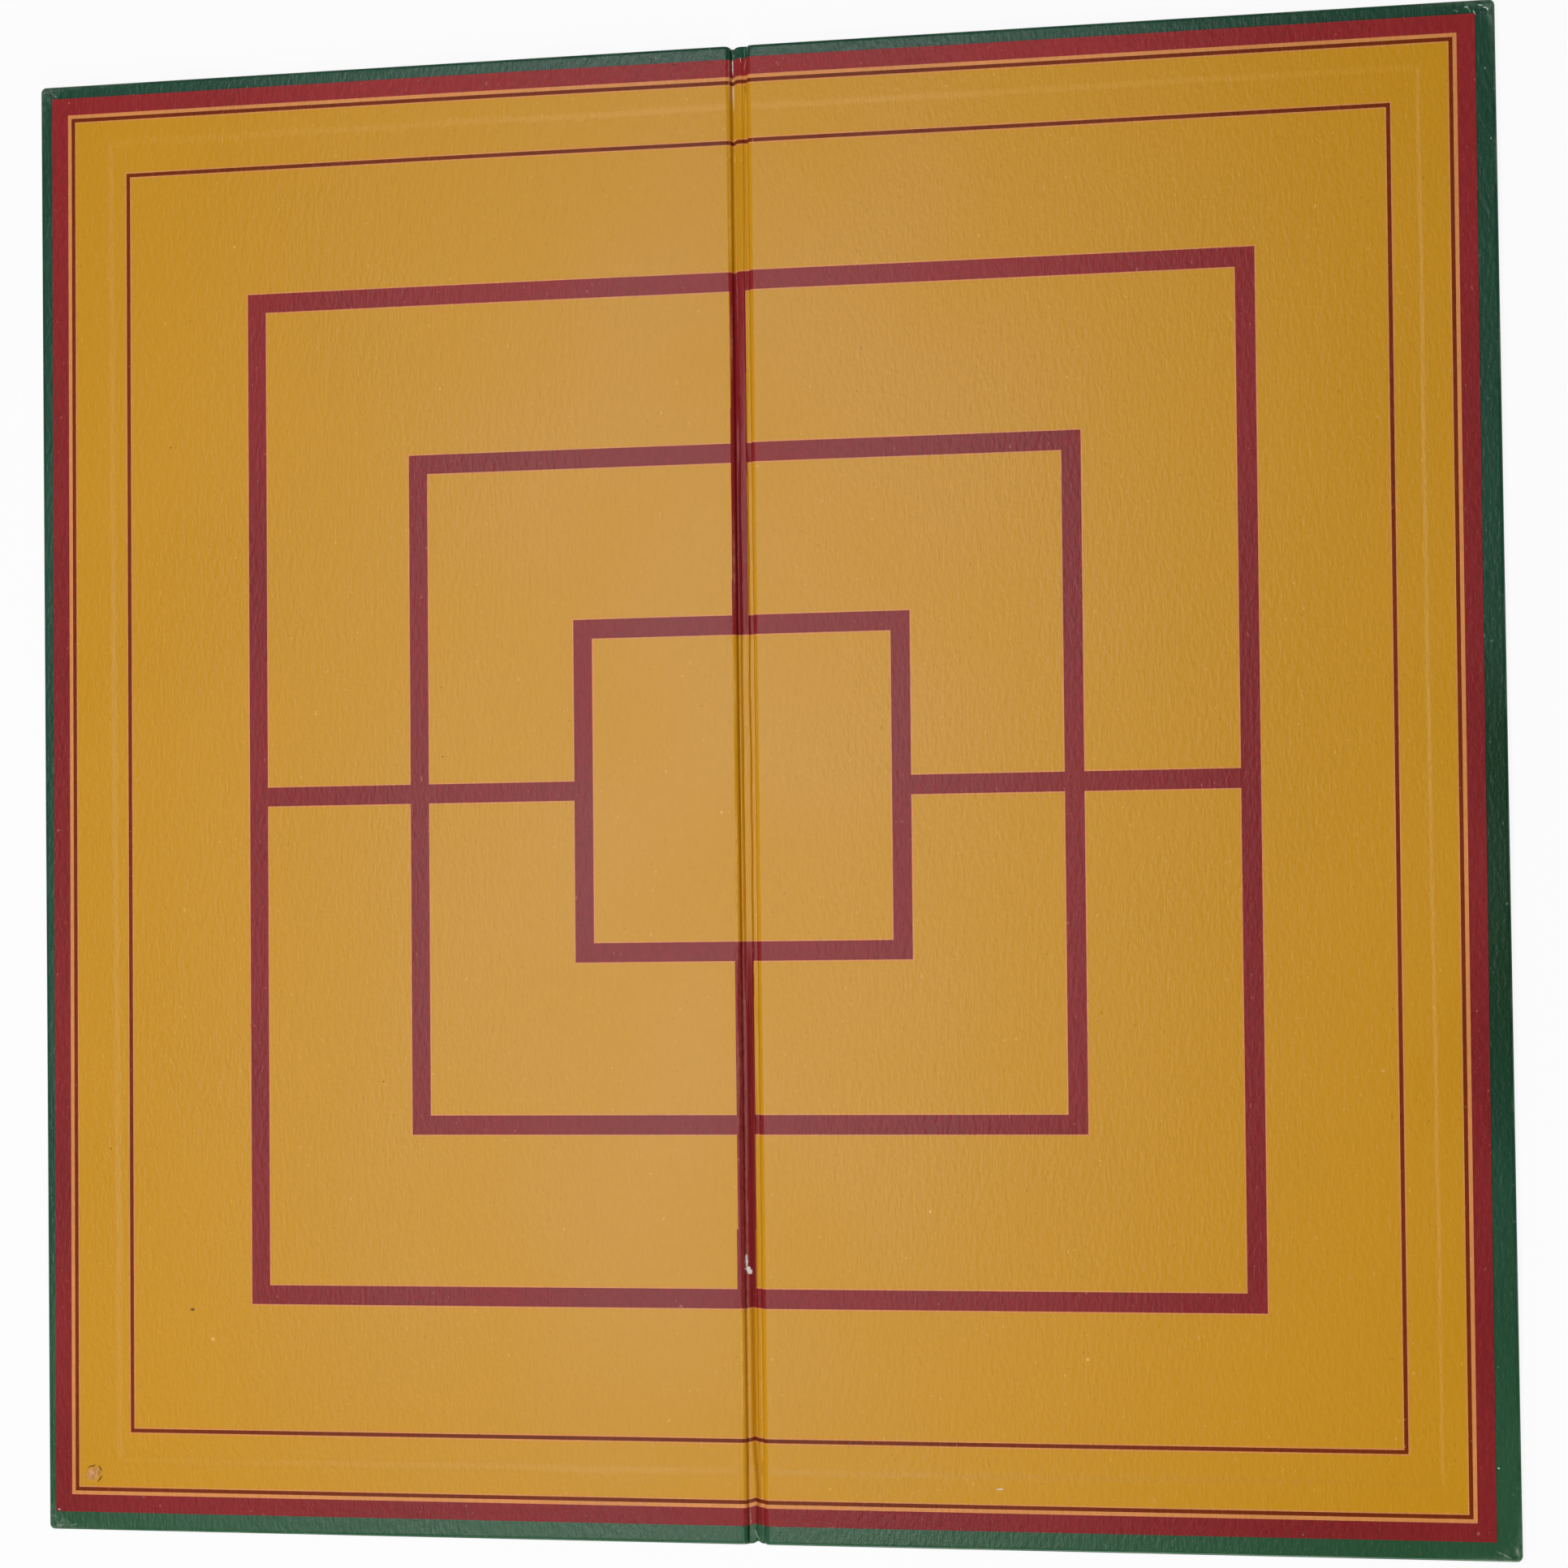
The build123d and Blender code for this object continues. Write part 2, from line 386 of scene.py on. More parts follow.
def print_edges():
    """Distances from the middle of the sheet at which the ink changes."""
    edges = [liner_half, band_inner, light_inner, dark_inner, dark_inner - halo_width]
    edges += [frame_outer + halo_width, frame_outer, frame_inner, frame_inner - halo_width]
    for outer in ring_outers:
        edges += [outer + halo_width, outer, outer - mill_line, outer - mill_line - halo_width]
    return edges + [mill_line / 2, mill_line / 2 + halo_width]


def filled(stops, gap):
    """Sorted stops with more between them, so that no gap is wider."""
    stops = sorted(stops)
    result = [stops[0]]
    for low, high in zip(stops, stops[1:]):
        if high - low < 1e-6:
            continue
        pieces = max(1, math.ceil((high - low) / gap))
        result += [low + (high - low) * (i + 1) / pieces for i in range(pieces)]
    return result


def close_to(place, reach, gap):
    """Stops close together round a place."""
    count = round(2 * reach / gap)
    return [place - reach + i * gap for i in range(count + 1)]


def away_from(stops, others, gap):
    """The stops that lie at least a gap from each of the others."""
    return [s for s in stops if all(abs(s - o) >= gap for o in others)]


def groove_columns():
    """Distances from the middle of the fold, close together where the sheet turns."""
    arc = [wall_x + widest_shoulder * (1 - math.sin(math.radians(a))) for a in range(0, 91, 7)]
    foot = [wall_x - foot_width * s for s in (0.03, 0.1, 0.2, 0.35, 0.55, 0.8, 1.1, 1.45)]
    floor = [i * 0.08 for i in range(15)]
    return sorted([groove_zone, 3.9, 3.4] + arc + foot + floor)


def sheet_place(u, v):
    """Place on the board of a point of the printed sheet."""
    return u + liner_lean * v / board_side + liner_shift_x, v + liner_shift_y


def sheet_point(x, y):
    """The point of the printed sheet that lies at a place on the board."""
    v = y - liner_shift_y
    return x - liner_lean * v / board_side - liner_shift_x, v


def fold_drag(x, y):
    """How far the sheet's print lies off its place along the fold, near it."""
    head = smooth((y - 20) / 130)
    tail = smooth((-y - 60) / 100)
    step = 0.2 * head * (2 * smooth((x + 1.6) / 0.8) - 1) * hump(x, 40)
    return step + 0.4 * tail * hump(x + 0.2, 0.8) - 0.15 * head * hump(x + 1.3, 0.5)


# Meshes


def add_mesh(name, points, faces, slots, materials):
    """A mesh object from points in millimetres, each kept as an attribute for the materials."""
    mesh = bpy.data.meshes.new(name)
    mesh.from_pydata([Vector(p) * MM for p in points], [], faces)
    for material in materials:
        mesh.materials.append(material)
    mesh.polygons.foreach_set("material_index", slots)
    mesh.polygons.foreach_set("use_smooth", [True] * len(faces))
    at = mesh.attributes.new("sheet_at", "FLOAT_VECTOR", "POINT")
    at.data.foreach_set("vector", [c for p in points for c in p])
    obj = bpy.data.objects.new(name, mesh)
    bpy.context.scene.collection.objects.link(obj)
    return obj


def set_shares(obj, points, name, share):
    """Keeps a share between 0 and 1 for each point, for its materials."""
    layer = obj.data.attributes.new(name, "FLOAT", "POINT")
    layer.data.foreach_set("value", [share(p[0], p[1]) for p in points])


def grid_faces(rows, columns, start, flipped):
    """Faces of a grid of points, from a first point on."""
    faces = []
    for j in range(rows - 1):
        for i in range(columns - 1):
            a = start + j * columns + i
            quad = (a, a + 1, a + columns + 1, a + columns)
            faces.append(quad[::-1] if flipped else quad)
    return faces


def rim_faces(rows, columns, other, flipped):
    """Faces that join the borders of two grids."""
    ring = list(range(columns))
    ring += [j * columns + columns - 1 for j in range(1, rows)]
    ring += [(rows - 1) * columns + i for i in range(columns - 2, -1, -1)]
    ring += [j * columns for j in range(rows - 2, 0, -1)]
    faces = []
    for a, b in zip(ring, ring[1:] + ring[:1]):
        quad = (a, a + other, b + other, b)
        faces.append(quad[::-1] if flipped else quad)
    return faces


def thick_sheet(name, face_points, normals, ink, materials, upward=True):
    """A closed sheet of paper: its visible face, the same moved inwards, and the rims."""
    rows, columns = len(face_points), len(face_points[0])
    flat = [p for row in face_points for p in row]
    inward = [Vector(p) - n * paper for p, n in zip(flat, normals)]
    other = len(flat)
    faces = grid_faces(rows, columns, 0, not upward)
    slots = [ink(sum((Vector(flat[i]) for i in f), Vector()) / 4) for f in faces]
    face_count = len(faces)
    back = grid_faces(rows, columns, other, upward)
    rims = rim_faces(rows, columns, other, not upward)
    points = flat + [tuple(p) for p in inward]
    slots += [0] * len(back) + [CUT_EDGE] * len(rims)
    obj = add_mesh(name, points, faces + back + rims, slots, materials)
    custom = []
    for polygon in obj.data.polygons:
        for vertex in polygon.vertices:
            custom.append(normals[vertex] if polygon.index < face_count else polygon.normal)
    obj.data.normals_split_custom_set(custom)
    return obj, points


# Materials


def node(tree, kind, inputs=None, **settings):
    """A node with its settings and its inputs, each a value or another node's output."""
    made = tree.nodes.new(kind)
    for key, value in settings.items():
        setattr(made, key, value)
    for key, value in (inputs or {}).items():
        if isinstance(value, bpy.types.NodeSocket):
            tree.links.new(value, made.inputs[key])
        else:
            made.inputs[key].default_value = value
    return made


def calc(tree, operation, a, b=0.0, limited=False):
    """The result of one operation on two values."""
    made = node(tree, "ShaderNodeMath", {0: a, 1: b}, operation=operation, use_clamp=limited)
    return made.outputs[0]


def ramp(tree, value, low, high, start=0.0, end=1.0):
    """A value mapped softly from one range to another."""
    made = node(
        tree,
        "ShaderNodeMapRange",
        {"Value": value, "From Min": low, "From Max": high, "To Min": start, "To Max": end},
        interpolation_type="SMOOTHSTEP",
    )
    return made.outputs["Result"]


def mixed(tree, share, first, second):
    """Two colours mixed."""
    made = node(tree, "ShaderNodeMix", {"Factor": share}, data_type="RGBA")
    for socket, value in (("A", first), ("B", second)):
        target = [s for s in made.inputs if s.name == socket and s.type == "RGBA"][0]
        if isinstance(value, bpy.types.NodeSocket):
            tree.links.new(value, target)
        else:
            target.default_value = value
    return [s for s in made.outputs if s.type == "RGBA"][0]


def stretched(tree, vector, factors):
    """A place or a colour with each of its three parts scaled."""
    made = node(tree, "ShaderNodeVectorMath", {0: vector, 1: factors}, operation="MULTIPLY")
    return made.outputs[0]


def scaled(tree, vector, factor):
    """A vector or a colour multiplied by one factor."""
    made = node(tree, "ShaderNodeVectorMath", {0: vector, "Scale": factor}, operation="SCALE")
    return made.outputs[0]


def noise_at(tree, at, scale, detail=2.0, roughness=0.5):
    """Soft noise between 0 and 1 at a place."""
    made = node(
        tree,
        "ShaderNodeTexNoise",
        {"Vector": at, "Scale": scale, "Detail": detail, "Roughness": roughness},
    )
    return made.outputs["Fac"]


def blank_material(name):
    """A material with only a shader and its output."""
    material = bpy.data.materials.new(name)
    material.use_nodes = True
    tree = material.node_tree
    tree.nodes.clear()
    shader = tree.nodes.new("ShaderNodeBsdfPrincipled")
    output = tree.nodes.new("ShaderNodeOutputMaterial")
    tree.links.new(shader.outputs[0], output.inputs[0])
    return material, tree, shader


def touches(mark, slot):
    """Whether a mark lies at least partly on an ink."""
    x, y, half_length, _, angle = mark
    direction = Vector((math.cos(math.radians(angle)), math.sin(math.radians(angle))))
    places = [Vector((x, y)) + direction * half_length * share for share in (-1, -0.5, 0, 0.5, 1)]
    return any(liner_ink(*sheet_point(place.x, place.y)) == slot for place in places)


def mark_share(tree, at, marks, softness):
    """How much of a surface point some marks cover, between 0 and 1."""
    far_away = 10.0
    any_height = 1000
    nearest = far_away
    for x, y, half_length, half_width, angle in marks:
        sizes = {
            "Vector": at,
            "Location": (x, y, 0),
            "Rotation": (0, 0, math.radians(angle)),
            "Scale": (half_length, half_width, any_height),
        }
        placed = node(tree, "ShaderNodeMapping", sizes, vector_type="TEXTURE").outputs[0]
        away = node(tree, "ShaderNodeVectorMath", {0: placed}, operation="LENGTH").outputs["Value"]
        nearest = calc(tree, "MINIMUM", away, nearest)
    return ramp(tree, nearest, 1.0 - softness, 1.1, 1.0, 0.0)


def board_marks(tree, at, slot):
    """The single marks on an ink of the upper side: torn, pale, dark and scuffed shares."""
    wander = node(tree, "ShaderNodeTexNoise", {"Vector": at, "Scale": 2.2, "Detail": 1.0})
    middle = {0: wander.outputs["Color"], 1: (0.5, 0.5, 0.5)}
    centred = node(tree, "ShaderNodeVectorMath", middle, operation="SUBTRACT").outputs[0]
    moved = scaled(tree, centred, 0.35)
    ragged = node(tree, "ShaderNodeVectorMath", {0: at, 1: moved}).outputs[0]
    upper = ramp(tree, node(tree, "ShaderNodeSeparateXYZ", {0: at}).outputs["Z"], 0.1, 0.2)
    kinds = ((torn_marks, 0.2), (pale_marks, 0.5), (dark_marks, 0.5), (scuff_marks, 0.6))
    shares = []
    for marks, softness in kinds:
        near = [mark for mark in marks if touches(mark, slot)]
        shares.append(calc(tree, "MULTIPLY", upper, mark_share(tree, ragged, near, softness)))
    return shares


def green_with_painted_light(tree, ink, at, broad):
    """The cover's green, darker at the right in the middle of the board (painted shade) and paler
    towards the tail (painted light).
    """
    sides = node(tree, "ShaderNodeSeparateXYZ", {0: at}).outputs
    to_right = calc(tree, "ADD", sides["X"], calc(tree, "MULTIPLY", broad, 60))
    from_middle = calc(tree, "ABSOLUTE", calc(tree, "ADD", sides["Y"], 20.0))
    near_middle = ramp(tree, from_middle, 20, 70, 1.0, 0.15)
    # Painted shade: the green darkened towards the right in the middle of the board
    painted_shade_share = calc(tree, "MULTIPLY", ramp(tree, to_right, 60, 190), near_middle)
    ink = mixed(tree, painted_shade_share, ink, painted_shade_green)
    # Painted light: the green paler towards the tail
    return mixed(tree, ramp(tree, sides["Y"], -150, -65, 0.4, 0.0), ink, painted_light_green)


def crumpled(tree, height, at, amount):
    """The height of the paper's tooth, with the folds of the wrapped corners added."""
    parts = node(tree, "ShaderNodeSeparateXYZ", {0: at}).outputs
    from_x = calc(tree, "SUBTRACT", half_side, calc(tree, "ABSOLUTE", parts["X"]))
    from_y = calc(tree, "SUBTRACT", half_side, calc(tree, "ABSOLUTE", parts["Y"]))
    near_corner = ramp(tree, calc(tree, "ADD", from_x, from_y), 2.0, 7.0, amount, 0.0)
    folds = noise_at(tree, stretched(tree, at, (0.6, 1.1, 1)), 0.6, 1, 0.4)
    return calc(tree, "ADD", height, calc(tree, "MULTIPLY", near_corner, folds))


def printed_paper(name, slot, colour, mottle, worn_and_lit_colour, gloss, rough=0.31, crumple=0.0):
    """Varnished printed paper: uneven ink, an orange-peel varnish, flecks, marks, rubbed paper and
    painted light.
    """
    material, tree, shader = blank_material(name)
    at = node(tree, "ShaderNodeAttribute", attribute_name="sheet_at").outputs["Vector"]
    wear_and_light = node(tree, "ShaderNodeAttribute", attribute_name="wear_and_light").outputs["Fac"]
    crease = node(tree, "ShaderNodeAttribute", attribute_name="crease").outputs["Fac"]
    torn, pale, darkened, scuffed = board_marks(tree, at, slot)

    broad = noise_at(tree, at, 0.02, 1)
    fine = noise_at(tree, stretched(tree, at, (1, 0.45, 1)), 1.3, 2, 0.6)
    even = 0.6 * mottle
    broad_shade = ramp(tree, broad, 0.3, 0.7, 1 - even, 1 + even)
    fine_shade = ramp(tree, fine, 0.25, 0.75, -mottle, mottle)
    shade = calc(tree, "ADD", broad_shade, fine_shade)
    undarkened = calc(tree, "SUBTRACT", 1.0, calc(tree, "MULTIPLY", darkened, 0.75))
    shade = calc(tree, "MULTIPLY", shade, undarkened)
    # Painted light: the maroon ink paler towards the head
    if slot == MAROON:
        along_fold = node(tree, "ShaderNodeSeparateXYZ", {0: at}).outputs["Y"]
        shade = calc(tree, "MULTIPLY", shade, ramp(tree, along_fold, 60, 165, 1.0, 1.26))
    ink = scaled(tree, colour[:3], shade)
    # Painted shade: the ink darkened in the creases and the valley of the fold
    ink = mixed(tree, crease, ink, stretched(tree, ink, crease_shade_tint))
    if slot == GREEN:
        ink = green_with_painted_light(tree, ink, at, broad)

    dots = noise_at(tree, stretched(tree, at, (1, 0.6, 1)), 1.2, 1)
    ink = mixed(tree, ramp(tree, dots, 0.76, 0.81, 0.0, 0.3), ink, speck_colour)
    ink = mixed(tree, ramp(tree, dots, 0.2, 0.25, 0.35, 0.0), ink, worn_and_lit_colour)
    if slot == YELLOW:
        bared = mixed(tree, ramp(tree, fine, 0.35, 0.6), scuff_brown, scuff_tan)
        ink = mixed(tree, calc(tree, "MULTIPLY", scuffed, 0.85), ink, bared)
    broken = ramp(tree, fine, 0.35, 0.6, 0.35, 1.0)
    # Rubbed paper, pale marks and, on the liner's fold, painted light
    worn_and_lit = calc(tree, "MULTIPLY", calc(tree, "MAXIMUM", wear_and_light, pale), broken, True)
    ink = mixed(tree, worn_and_lit, ink, worn_and_lit_colour)
    ink = mixed(tree, torn, ink, torn_green if slot == GREEN else torn_paper)
    tree.links.new(ink, shader.inputs["Base Color"])

    dull = ramp(tree, broad, 0.3, 0.7, rough - 0.02, rough + 0.03)
    dull = calc(tree, "ADD", dull, calc(tree, "MULTIPLY", worn_and_lit, 0.45))
    tree.links.new(dull, shader.inputs["Roughness"])
    shader.inputs["Specular IOR Level"].default_value = gloss

    height = noise_at(tree, stretched(tree, at, (1, 0.4, 1)), 1.2, 2, 0.6)
    if crumple:
        height = crumpled(tree, height, at, crumple)
    bumps = {"Strength": 1.0, "Distance": varnish_depth, "Height": height}
    bump = node(tree, "ShaderNodeBump", bumps)
    tree.links.new(bump.outputs[0], shader.inputs["Normal"])
    return material


def cut_paper():
    """The cut edge of a sheet, where its pulp shows."""
    material, tree, shader = blank_material("cut_paper_edge")
    at = node(tree, "ShaderNodeAttribute", attribute_name="sheet_at").outputs["Vector"]
    pulp = noise_at(tree, at, 4.0, 3, 0.7)
    colour = mixed(tree, pulp, (0.22, 0.13, 0.1, 1), (0.5, 0.4, 0.32, 1))
    tree.links.new(colour, shader.inputs["Base Color"])
    shader.inputs["Roughness"].default_value = 0.8
    bump = node(tree, "ShaderNodeBump", {"Strength": 1.0, "Distance": 0.00002, "Height": pulp})
    tree.links.new(bump.outputs[0], shader.inputs["Normal"])
    return material


def greyboard_material():
    """Grey pulp board with mixed fibres."""
    material, tree, shader = blank_material("greyboard")
    at = node(tree, "ShaderNodeTexCoord").outputs["Object"]
    pulp = noise_at(tree, at, 900, 4, 0.7)
    colour = mixed(tree, pulp, (0.22, 0.2, 0.17, 1), (0.42, 0.39, 0.34, 1))
    tree.links.new(colour, shader.inputs["Base Color"])
    shader.inputs["Roughness"].default_value = 0.85
    bump = node(tree, "ShaderNodeBump", {"Strength": 0.6, "Distance": 0.00006, "Height": pulp})
    tree.links.new(bump.outputs[0], shader.inputs["Normal"])
    return material


def floor_material():
    """White floor that glows a little where it is seen, and keeps the board's soft shadow."""
    material, tree, shader = blank_material("studio_floor")
    output = [n for n in tree.nodes if n.type == "OUTPUT_MATERIAL"][0]
    shader.inputs["Base Color"].default_value = (0.9, 0.9, 0.9, 1)
    shader.inputs["Roughness"].default_value = 0.9
    path = node(tree, "ShaderNodeLightPath")
    seen = calc(tree, "ADD", path.outputs["Is Camera Ray"], path.outputs["Is Glossy Ray"], True)
    seen = calc(tree, "ADD", seen, path.outputs["Is Transmission Ray"], True)
    glow = node(tree, "ShaderNodeEmission", {"Color": (1, 1, 1, 1), "Strength": 1.0})
    share = calc(tree, "MULTIPLY", seen, 0.9)
    mix = node(tree, "ShaderNodeMixShader", {0: share, 1: shader.outputs[0], 2: glow.outputs[0]})
    tree.links.new(mix.outputs[0], output.inputs[0])
    return material


# Each paper's ink, how mottled it is, its colour where it is worn and where light is painted on it,
# and its varnish
green = printed_paper(
    "cover_green_paper",
    GREEN,
    (0.006, 0.06, 0.031, 1),
    mottle=0.14,
    worn_and_lit_colour=(0.22, 0.3, 0.2, 1),
    gloss=0.36,
    rough=0.27,
    crumple=4.5,
)
yellow = printed_paper(
    "yellow_ink_paper",
    YELLOW,
    (0.612, 0.284, 0.004, 1),
    mottle=0.018,
    worn_and_lit_colour=(0.85, 0.5, 0.16, 1),
    gloss=0.24,
)
maroon = printed_paper(
    "maroon_ink_paper",
    MAROON,
    (0.238, 0.013, 0.015, 1),
    mottle=0.1,
    worn_and_lit_colour=(0.6, 0.25, 0.18, 1),
    gloss=0.19,
)
light = printed_paper(
    "light_ink_paper",
    LIGHT,
    (0.7, 0.27, 0.075, 1),
    mottle=0.06,
    worn_and_lit_colour=(0.8, 0.5, 0.3, 1),
    gloss=0.2,
)
dark = printed_paper(
    "dark_ink_paper",
    DARK,
    (0.18, 0.024, 0.001, 1),
    mottle=0.1,
    worn_and_lit_colour=(0.6, 0.3, 0.1, 1),
    gloss=0.12,
)
cut_edge = cut_paper()
board_grey = greyboard_material()
liner_materials = [yellow, maroon, light, dark, cut_edge]
cover_materials = [green, maroon, yellow, light, cut_edge]


# Liner


def liner_wear_and_light(x, y):
    """Cracked print on the shoulders of the fold, and painted light: paler paper at the foot of the
    left wall towards the tail.
    """
    if abs(x) > groove_zone:
        return 0.0
    edge = -2.15 - 0.5 * (half_side - y) / board_side + 0.1 * drift(y, 12, 21.0)
    cracked = 0.6 * hump(x - edge, 0.16) * smooth(0.5 + 1.5 * drift(y, 18, 6.0))
    # Painted light at the foot of the left wall towards the tail
    return max(cracked, 0.2 * fold_parts(y)[2] * hump(x + 1.75, 0.4))


def liner_crease_shade(x, y):
    """Painted shade in the creases and the valley of the fold: how much the ink is darkened there.
    """
    if abs(x) > groove_zone:
        return 0.0
    left, right = fold_creases(x, y)
    valley = fold_parts(y)[2] * hump(x - valley_place(y) + 0.1, 0.45)
    return clamp(0.7 * left + 0.7 * right + 0.8 * valley)


def liner_rows():
    """Rows of the liner in the sheet's own directions, close together at the ridges."""
    edges = print_edges()
    stops = edges + [-e for e in edges]
    near = close_to(ridge_head - liner_shift_y, 1.2, 0.3)
    near += close_to(ridge_tail - liner_shift_y, 1.2, 0.3)
    return filled(stops + away_from(near, stops, 0.1), liner_row_gap)


def liner_leaf_columns(side):
    """Columns of a leaf in the sheet's own directions, from the rim to the fold."""
    stops = [side * e for e in print_edges() if e > leaf_grid_end]
    ridge = (ridge_left if side < 0 else ridge_right) - liner_shift_x
    near = away_from(close_to(ridge, 1.5, 0.3), stops, 0.1)
    return filled(stops + near + [side * leaf_grid_end], liner_column_gap)


def build_liner(name, side):
    """One leaf's liner and its half of the fold."""
    leaf = liner_leaf_columns(side)
    fold = sorted(side * c for c in groove_columns())
    face_points = []
    normals = []
    for v in liner_rows():
        row = []
        for u in leaf:
            x, y = sheet_place(u, v)
            row.append((x, y + fold_drag(x, y)))
        for x in fold:
            y = v + liner_shift_y
            row.append((x, y + fold_drag(x, y)))
        row.sort()
        face_points.append([(x, y, liner_height(x, y)) for x, y in row])
        normals += [height_normal(liner_height, x, y) for x, y in row]

    def ink(centre):
        return liner_ink(*sheet_point(centre.x, centre.y - fold_drag(centre.x, centre.y)))

    obj, points = thick_sheet(name, face_points, normals, ink, liner_materials)
    set_shares(obj, points, "wear_and_light", liner_wear_and_light)
    set_shares(obj, points, "crease", liner_crease_shade)
    return obj


# Cover


def underside_ink(centre):
    """Slot of the ink at a place on the underside."""
    edge = max(abs(centre.x), abs(centre.y))
    field = half_side - squares_margin
    if edge < field:
        column = math.floor((centre.x + field) / square_side)
        row = math.floor((centre.y + field) / square_side)
        return COVER_MAROON if (column + row) % 2 == 0 else COVER_YELLOW
    inner = field + squares_frame_gap
    on_frame = inner < edge < inner + squares_frame_width
    return COVER_LIGHT if on_frame else COVER_GREEN


def underside_stops():
    """Distances from the middle at which the underside's ink changes."""
    field = half_side - squares_margin
    stops = [half_side - wrap_radius, field, field + squares_frame_gap]
    stops += [field + squares_frame_gap + squares_frame_width]
    return stops + [i * square_side for i in range(squares_per_side // 2)]


def underside_height(x, y):
    """The underside is flat, with two shallow creases where the cover bends."""
    return 0.07 * hump(abs(x) - cover_crease_x, 0.25)


def underside_wear(x, y):
    """Rubbed lines where the cover bends."""
    return 0.5 * hump(abs(x) - cover_crease_x, 0.2) * smooth(0.4 + drift(y, 15, 31.0))


def build_panel(name, side):
    """The cover's flat underside on one leaf and half of the fold."""
    stops = underside_stops()
    printed = [side * s for s in stops]
    fold = away_from([side * i * 0.15 for i in range(1, 20)], printed, 0.05)
    columns = filled(printed + fold, panel_gap)
    rows = filled(stops + [-s for s in stops[:-1]], panel_gap)
    face_points = [[(x, y, underside_height(x, y)) for x in columns] for y in rows]
    normals = [-height_normal(underside_height, x, y) for y in rows for x in columns]
    obj, points = thick_sheet(
        name, face_points, normals, underside_ink, cover_materials, upward=False
    )
    set_shares(obj, points, "wear_and_light", underside_wear)
    return obj


def wrap_profile(height):
    """Section of the turned-in sheet as depths from the edge and heights: outside, inside back."""
    radius = min(wrap_radius, most_wrap * height)
    inner = max(radius - paper, 0.01)
    upper = height - radius
    turns = [(math.cos(math.radians(a)), math.sin(math.radians(a))) for a in range(0, 91, 15)]
    outside = [(radius - radius * s, radius - radius * c) for c, s in turns]
    outside += [(radius - radius * c, upper + radius * s) for c, s in turns]
    inside = [(radius - inner * c, upper + inner * s) for c, s in turns[::-1]]
    inside += [(radius - inner * s, radius - inner * c) for c, s in turns[::-1]]
    return outside, inside


def corner_columns(side, end, way, end_point):
    """Columns of a turn-in round its half of a corner, from the mitre on."""
    centre = half_side - corner_radius
    turn = way * mitre_angle / (corner_steps - 1)
    columns = []
    for step in range(corner_steps):
        angle = math.radians(mitre_angle + turn * step)
        direction = Vector((side * math.cos(angle), end * math.sin(angle)))
        outline = Vector((side * centre, end * centre)) + corner_radius * direction
        columns.append((outline, -direction, end_point(mitre_spread * step)))
    return columns


def flap_columns(name, side):
    """Columns of a turn-in: outline point, inward direction and end point under the liner."""
    ridge_x = ridge_left if side < 0 else ridge_right
    if name == "fore_edge":
        head = corner_columns(side, 1, -1, lambda d: Vector((ridge_x, ridge_head - d)))
        tail = corner_columns(side, -1, -1, lambda d: Vector((ridge_x, ridge_tail + d)))
        ends = [ridge_head - flap_end_gap, 0, ridge_tail + flap_end_gap]
        straight = filled(ends, flap_gap)[::-1]
        inward = Vector((-side, 0))
        edge = [(Vector((side * half_side, y)), inward, Vector((ridge_x, y))) for y in straight]
        return head + edge + tail[::-1]
    end = 1 if name == "head" else -1
    ridge_y = ridge_head if name == "head" else ridge_tail
    columns = corner_columns(side, end, 1, lambda d: Vector((ridge_x - side * d, ridge_y)))
    leaf = filled([abs(ridge_x) - flap_end_gap, groove_zone + 1], flap_gap)[::-1]
    for x in leaf + groove_columns()[::-1]:
        outline = Vector((side * x, end * fold_outline(side * x, end)))
        columns.append((outline, Vector((0, -end)), Vector((side * x, ridge_y))))
    return columns


def fold_outline(x, end):
    """How far the board reaches at the fold's end: a notch, and the leaf corners rounded by it."""
    notch = x - (-1.5 if end > 0 else 0.2)
    reach = half_side - 0.05 * smooth((3.5 - abs(x)) / 1.5)
    return reach - hump(notch, 0.26) - 0.4 * hump(notch, 0.8) - 0.14 * hump(x - 1.95, 0.16)


def build_flap(name, part, side):
    """One turned-in flap of the cover: up round the edge and in under the liner."""
    columns = flap_columns(part, side)
    inner_shares = [0.02, 0.05, 0.09, 0.14, 0.2, 0.27, 0.4, 0.7, 1.0]
    points = []
    for outline, inward, end_point in columns:
        height = cover_height(outline.x, outline.y)
        outside, inside = wrap_profile(height)
        lip = outline + inward * outside[-1][0]
        column = [(outline + inward * d, z) for d, z in outside]
        for share in inner_shares:
            place = lip.lerp(end_point, share)
            column.append((place, cover_height(place.x, place.y)))
        for share in inner_shares[::-1]:
            place = lip.lerp(end_point, share)
            column.append((place, cover_height(place.x, place.y) - paper))
        column += [(outline + inward * d, z) for d, z in inside]
        points += [(place.x, place.y, z) for place, z in column]
    count = len(columns)
    ring = len(points) // count
    faces = []
    for i in range(count - 1):
        for j in range(ring):
            a = i * ring + j
            b = i * ring + (j + 1) % ring
            faces.append((a, b, b + ring, a + ring))
    faces.append(tuple(range(ring))[::-1])
    faces.append(tuple((count - 1) * ring + j for j in range(ring)))
    obj = add_mesh(name, points, faces, [0] * len(faces), cover_materials[:1])
    mesh = obj.data
    mesh.update()
    outer_face = ring * 3 + 3
    outwards = Vector((points[outer_face][0], points[outer_face][1], 0)) * MM
    if mesh.polygons[outer_face].normal.dot(outwards) < 0:
        mesh.flip_normals()
    mesh.set_sharp_from_angle(angle=math.radians(40))
    set_shares(obj, points, "wear_and_light", cover_wear)
    return obj


